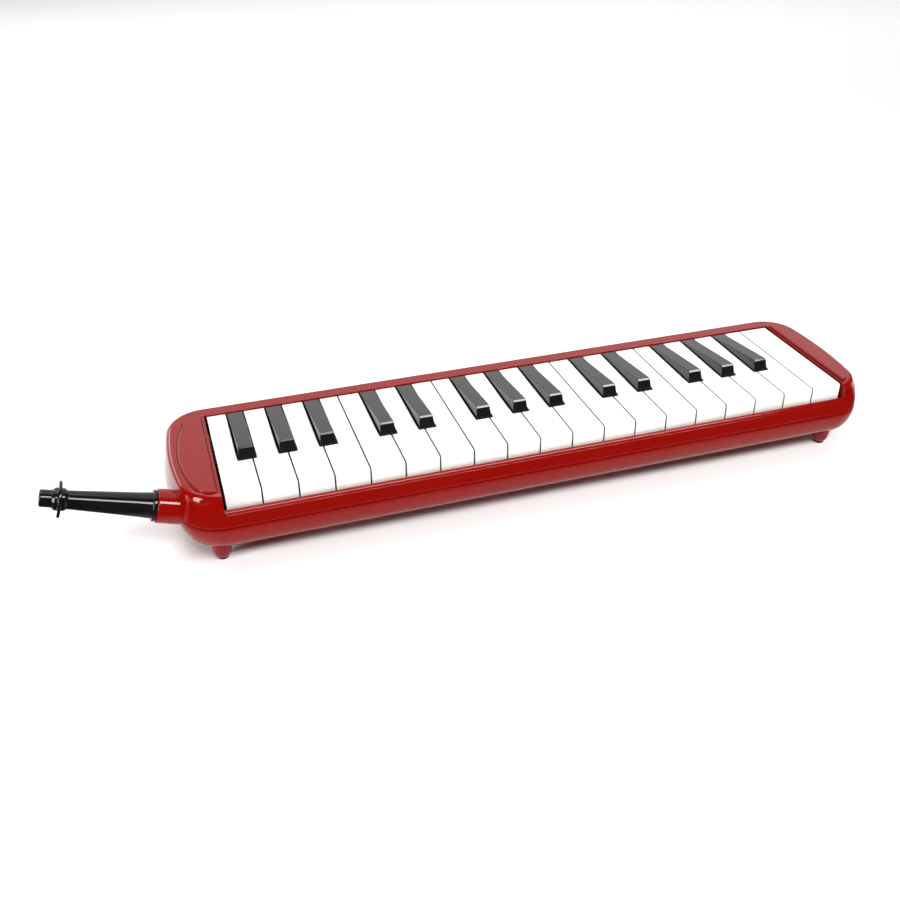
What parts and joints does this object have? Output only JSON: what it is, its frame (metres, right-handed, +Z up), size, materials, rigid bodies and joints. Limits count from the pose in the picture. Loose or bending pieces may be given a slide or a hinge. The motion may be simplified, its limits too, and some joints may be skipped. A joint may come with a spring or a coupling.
{
  "type": "melodica",
  "caption": "Melodica: small wind keyboard with a glossy red two-shell case on four feet, sprung white and black keys over a reed chest, and a black plug-in mouthpiece.",
  "frame": {"origin": "on the table under the middle of the whole object's box, mouthpiece included", "axes": "+X along the keys from low to high notes, +Y from the player to the back, +Z up"},
  "size_m": [0.4894, 0.1006, 0.0581],
  "materials": {
    "red_case": "glossy",
    "black_gloss": "glossy",
    "key_white": "semi-gloss",
    "key_black": "semi-gloss",
    "rubber_black": "matte",
    "screw_steel": "satin",
    "steel_rod": "polished",
    "spring_brass": "satin",
    "reed_brass": "satin",
    "felt": "felt",
    "black_inner": "matte",
    "pale_inner": "matte"
  },
  "bodies": {
    "case": {"upper_case": "red_case", "lower_case": "red_case", "inlet_socket": "red_case", "foot_tips": "rubber_black", "case_screws": "screw_steel", "key_bed": "black_inner", "key_axle": "steel_rod", "key_spring_comb": "spring_brass", "comb_screws": "screw_steel", "white_key_felt": "felt", "black_key_felt": "felt", "cell_block": "pale_inner", "reed_plate_low": "reed_brass", "reed_plate_high": "reed_brass", "reed_tongues": "reed_brass", "reed_rivets": "reed_brass", "reed_plate_screws": "screw_steel", "chest_gasket": "rubber_black", "chest_cover": "pale_inner", "air_duct": "black_inner", "duct_seal": "rubber_black", "spit_valve_spring": "screw_steel"},
    "white_key_f3": {"white_key_f3": "key_white"},
    "black_key_f3_sharp": {"black_key_f3_sharp": "key_black"},
    "white_key_g3": {"white_key_g3": "key_white"},
    "black_key_g3_sharp": {"black_key_g3_sharp": "key_black"},
    "white_key_a3": {"white_key_a3": "key_white"},
    "black_key_a3_sharp": {"black_key_a3_sharp": "key_black"},
    "white_key_b3": {"white_key_b3": "key_white"},
    "white_key_c4": {"white_key_c4": "key_white"},
    "black_key_c4_sharp": {"black_key_c4_sharp": "key_black"},
    "white_key_d4": {"white_key_d4": "key_white"},
    "black_key_d4_sharp": {"black_key_d4_sharp": "key_black"},
    "white_key_e4": {"white_key_e4": "key_white"},
    "white_key_f4": {"white_key_f4": "key_white"},
    "black_key_f4_sharp": {"black_key_f4_sharp": "key_black"},
    "white_key_g4": {"white_key_g4": "key_white"},
    "black_key_g4_sharp": {"black_key_g4_sharp": "key_black"},
    "white_key_a4": {"white_key_a4": "key_white"},
    "black_key_a4_sharp": {"black_key_a4_sharp": "key_black"},
    "white_key_b4": {"white_key_b4": "key_white"},
    "white_key_c5": {"white_key_c5": "key_white"},
    "black_key_c5_sharp": {"black_key_c5_sharp": "key_black"},
    "white_key_d5": {"white_key_d5": "key_white"},
    "black_key_d5_sharp": {"black_key_d5_sharp": "key_black"},
    "white_key_e5": {"white_key_e5": "key_white"},
    "white_key_f5": {"white_key_f5": "key_white"},
    "black_key_f5_sharp": {"black_key_f5_sharp": "key_black"},
    "white_key_g5": {"white_key_g5": "key_white"},
    "black_key_g5_sharp": {"black_key_g5_sharp": "key_black"},
    "white_key_a5": {"white_key_a5": "key_white"},
    "black_key_a5_sharp": {"black_key_a5_sharp": "key_black"},
    "white_key_b5": {"white_key_b5": "key_white"},
    "white_key_c6": {"white_key_c6": "key_white"},
    "mouthpiece": {"mouthpiece": "black_gloss"},
    "spit_valve": {"spit_valve_button": "black_gloss", "spit_valve_seal": "rubber_black"}
  },
  "joints": [
    {"name": "white_key_f3_press", "type": "hinge", "parent": "case", "child": "white_key_f3", "pos_m": [0.03432, 0.02405, 0.038], "axis": [1, 0, 0], "range_deg": [0, 3.7], "stiffness_Nm_per_rad": 0.16, "springref_deg": -11.46, "deforming": ["key_spring_comb"]},
    {"name": "black_key_f3_sharp_press", "type": "hinge", "parent": "case", "child": "black_key_f3_sharp", "pos_m": [0.03432, 0.02405, 0.038], "axis": [1, 0, 0], "range_deg": [0, 4.5], "stiffness_Nm_per_rad": 0.16, "springref_deg": -11.46, "deforming": ["key_spring_comb"]},
    {"name": "white_key_g3_press", "type": "hinge", "parent": "case", "child": "white_key_g3", "pos_m": [0.03432, 0.02405, 0.038], "axis": [1, 0, 0], "range_deg": [0, 3.7], "stiffness_Nm_per_rad": 0.16, "springref_deg": -11.46, "deforming": ["key_spring_comb"]},
    {"name": "black_key_g3_sharp_press", "type": "hinge", "parent": "case", "child": "black_key_g3_sharp", "pos_m": [0.03432, 0.02405, 0.038], "axis": [1, 0, 0], "range_deg": [0, 4.5], "stiffness_Nm_per_rad": 0.16, "springref_deg": -11.46, "deforming": ["key_spring_comb"]},
    {"name": "white_key_a3_press", "type": "hinge", "parent": "case", "child": "white_key_a3", "pos_m": [0.03432, 0.02405, 0.038], "axis": [1, 0, 0], "range_deg": [0, 3.7], "stiffness_Nm_per_rad": 0.16, "springref_deg": -11.46, "deforming": ["key_spring_comb"]},
    {"name": "black_key_a3_sharp_press", "type": "hinge", "parent": "case", "child": "black_key_a3_sharp", "pos_m": [0.03432, 0.02405, 0.038], "axis": [1, 0, 0], "range_deg": [0, 4.5], "stiffness_Nm_per_rad": 0.16, "springref_deg": -11.46, "deforming": ["key_spring_comb"]},
    {"name": "white_key_b3_press", "type": "hinge", "parent": "case", "child": "white_key_b3", "pos_m": [0.03432, 0.02405, 0.038], "axis": [1, 0, 0], "range_deg": [0, 3.7], "stiffness_Nm_per_rad": 0.16, "springref_deg": -11.46, "deforming": ["key_spring_comb"]},
    {"name": "white_key_c4_press", "type": "hinge", "parent": "case", "child": "white_key_c4", "pos_m": [0.03432, 0.02405, 0.038], "axis": [1, 0, 0], "range_deg": [0, 3.7], "stiffness_Nm_per_rad": 0.16, "springref_deg": -11.46, "deforming": ["key_spring_comb"]},
    {"name": "black_key_c4_sharp_press", "type": "hinge", "parent": "case", "child": "black_key_c4_sharp", "pos_m": [0.03432, 0.02405, 0.038], "axis": [1, 0, 0], "range_deg": [0, 4.5], "stiffness_Nm_per_rad": 0.16, "springref_deg": -11.46, "deforming": ["key_spring_comb"]},
    {"name": "white_key_d4_press", "type": "hinge", "parent": "case", "child": "white_key_d4", "pos_m": [0.03432, 0.02405, 0.038], "axis": [1, 0, 0], "range_deg": [0, 3.7], "stiffness_Nm_per_rad": 0.16, "springref_deg": -11.46, "deforming": ["key_spring_comb"]},
    {"name": "black_key_d4_sharp_press", "type": "hinge", "parent": "case", "child": "black_key_d4_sharp", "pos_m": [0.03432, 0.02405, 0.038], "axis": [1, 0, 0], "range_deg": [0, 4.5], "stiffness_Nm_per_rad": 0.16, "springref_deg": -11.46, "deforming": ["key_spring_comb"]},
    {"name": "white_key_e4_press", "type": "hinge", "parent": "case", "child": "white_key_e4", "pos_m": [0.03432, 0.02405, 0.038], "axis": [1, 0, 0], "range_deg": [0, 3.7], "stiffness_Nm_per_rad": 0.16, "springref_deg": -11.46, "deforming": ["key_spring_comb"]},
    {"name": "white_key_f4_press", "type": "hinge", "parent": "case", "child": "white_key_f4", "pos_m": [0.03432, 0.02405, 0.038], "axis": [1, 0, 0], "range_deg": [0, 3.7], "stiffness_Nm_per_rad": 0.16, "springref_deg": -11.46, "deforming": ["key_spring_comb"]},
    {"name": "black_key_f4_sharp_press", "type": "hinge", "parent": "case", "child": "black_key_f4_sharp", "pos_m": [0.03432, 0.02405, 0.038], "axis": [1, 0, 0], "range_deg": [0, 4.5], "stiffness_Nm_per_rad": 0.16, "springref_deg": -11.46, "deforming": ["key_spring_comb"]},
    {"name": "white_key_g4_press", "type": "hinge", "parent": "case", "child": "white_key_g4", "pos_m": [0.03432, 0.02405, 0.038], "axis": [1, 0, 0], "range_deg": [0, 3.7], "stiffness_Nm_per_rad": 0.16, "springref_deg": -11.46, "deforming": ["key_spring_comb"]},
    {"name": "black_key_g4_sharp_press", "type": "hinge", "parent": "case", "child": "black_key_g4_sharp", "pos_m": [0.03432, 0.02405, 0.038], "axis": [1, 0, 0], "range_deg": [0, 4.5], "stiffness_Nm_per_rad": 0.16, "springref_deg": -11.46, "deforming": ["key_spring_comb"]},
    {"name": "white_key_a4_press", "type": "hinge", "parent": "case", "child": "white_key_a4", "pos_m": [0.03432, 0.02405, 0.038], "axis": [1, 0, 0], "range_deg": [0, 3.7], "stiffness_Nm_per_rad": 0.16, "springref_deg": -11.46, "deforming": ["key_spring_comb"]},
    {"name": "black_key_a4_sharp_press", "type": "hinge", "parent": "case", "child": "black_key_a4_sharp", "pos_m": [0.03432, 0.02405, 0.038], "axis": [1, 0, 0], "range_deg": [0, 4.5], "stiffness_Nm_per_rad": 0.16, "springref_deg": -11.46, "deforming": ["key_spring_comb"]},
    {"name": "white_key_b4_press", "type": "hinge", "parent": "case", "child": "white_key_b4", "pos_m": [0.03432, 0.02405, 0.038], "axis": [1, 0, 0], "range_deg": [0, 3.7], "stiffness_Nm_per_rad": 0.16, "springref_deg": -11.46, "deforming": ["key_spring_comb"]},
    {"name": "white_key_c5_press", "type": "hinge", "parent": "case", "child": "white_key_c5", "pos_m": [0.03432, 0.02405, 0.038], "axis": [1, 0, 0], "range_deg": [0, 3.7], "stiffness_Nm_per_rad": 0.16, "springref_deg": -11.46, "deforming": ["key_spring_comb"]},
    {"name": "black_key_c5_sharp_press", "type": "hinge", "parent": "case", "child": "black_key_c5_sharp", "pos_m": [0.03432, 0.02405, 0.038], "axis": [1, 0, 0], "range_deg": [0, 4.5], "stiffness_Nm_per_rad": 0.16, "springref_deg": -11.46, "deforming": ["key_spring_comb"]},
    {"name": "white_key_d5_press", "type": "hinge", "parent": "case", "child": "white_key_d5", "pos_m": [0.03432, 0.02405, 0.038], "axis": [1, 0, 0], "range_deg": [0, 3.7], "stiffness_Nm_per_rad": 0.16, "springref_deg": -11.46, "deforming": ["key_spring_comb"]},
    {"name": "black_key_d5_sharp_press", "type": "hinge", "parent": "case", "child": "black_key_d5_sharp", "pos_m": [0.03432, 0.02405, 0.038], "axis": [1, 0, 0], "range_deg": [0, 4.5], "stiffness_Nm_per_rad": 0.16, "springref_deg": -11.46, "deforming": ["key_spring_comb"]},
    {"name": "white_key_e5_press", "type": "hinge", "parent": "case", "child": "white_key_e5", "pos_m": [0.03432, 0.02405, 0.038], "axis": [1, 0, 0], "range_deg": [0, 3.7], "stiffness_Nm_per_rad": 0.16, "springref_deg": -11.46, "deforming": ["key_spring_comb"]},
    {"name": "white_key_f5_press", "type": "hinge", "parent": "case", "child": "white_key_f5", "pos_m": [0.03432, 0.02405, 0.038], "axis": [1, 0, 0], "range_deg": [0, 3.7], "stiffness_Nm_per_rad": 0.16, "springref_deg": -11.46, "deforming": ["key_spring_comb"]},
    {"name": "black_key_f5_sharp_press", "type": "hinge", "parent": "case", "child": "black_key_f5_sharp", "pos_m": [0.03432, 0.02405, 0.038], "axis": [1, 0, 0], "range_deg": [0, 4.5], "stiffness_Nm_per_rad": 0.16, "springref_deg": -11.46, "deforming": ["key_spring_comb"]},
    {"name": "white_key_g5_press", "type": "hinge", "parent": "case", "child": "white_key_g5", "pos_m": [0.03432, 0.02405, 0.038], "axis": [1, 0, 0], "range_deg": [0, 3.7], "stiffness_Nm_per_rad": 0.16, "springref_deg": -11.46, "deforming": ["key_spring_comb"]},
    {"name": "black_key_g5_sharp_press", "type": "hinge", "parent": "case", "child": "black_key_g5_sharp", "pos_m": [0.03432, 0.02405, 0.038], "axis": [1, 0, 0], "range_deg": [0, 4.5], "stiffness_Nm_per_rad": 0.16, "springref_deg": -11.46, "deforming": ["key_spring_comb"]},
    {"name": "white_key_a5_press", "type": "hinge", "parent": "case", "child": "white_key_a5", "pos_m": [0.03432, 0.02405, 0.038], "axis": [1, 0, 0], "range_deg": [0, 3.7], "stiffness_Nm_per_rad": 0.16, "springref_deg": -11.46, "deforming": ["key_spring_comb"]},
    {"name": "black_key_a5_sharp_press", "type": "hinge", "parent": "case", "child": "black_key_a5_sharp", "pos_m": [0.03432, 0.02405, 0.038], "axis": [1, 0, 0], "range_deg": [0, 4.5], "stiffness_Nm_per_rad": 0.16, "springref_deg": -11.46, "deforming": ["key_spring_comb"]},
    {"name": "white_key_b5_press", "type": "hinge", "parent": "case", "child": "white_key_b5", "pos_m": [0.03432, 0.02405, 0.038], "axis": [1, 0, 0], "range_deg": [0, 3.7], "stiffness_Nm_per_rad": 0.16, "springref_deg": -11.46, "deforming": ["key_spring_comb"]},
    {"name": "white_key_c6_press", "type": "hinge", "parent": "case", "child": "white_key_c6", "pos_m": [0.03432, 0.02405, 0.038], "axis": [1, 0, 0], "range_deg": [0, 3.7], "stiffness_Nm_per_rad": 0.16, "springref_deg": -11.46, "deforming": ["key_spring_comb"]},
    {"name": "mouthpiece_pull", "type": "slide", "parent": "case", "child": "mouthpiece", "axis": [-0.9548, 0, 0.2974], "range_m": [0, 0.016]},
    {"name": "spit_valve_press", "type": "slide", "parent": "case", "child": "spit_valve", "axis": [-1, 0, 0], "range_m": [0, 0.003], "stiffness_N_per_m": 150, "springref_m": -0.004, "deforming": ["spit_valve_spring"]}
  ]
}
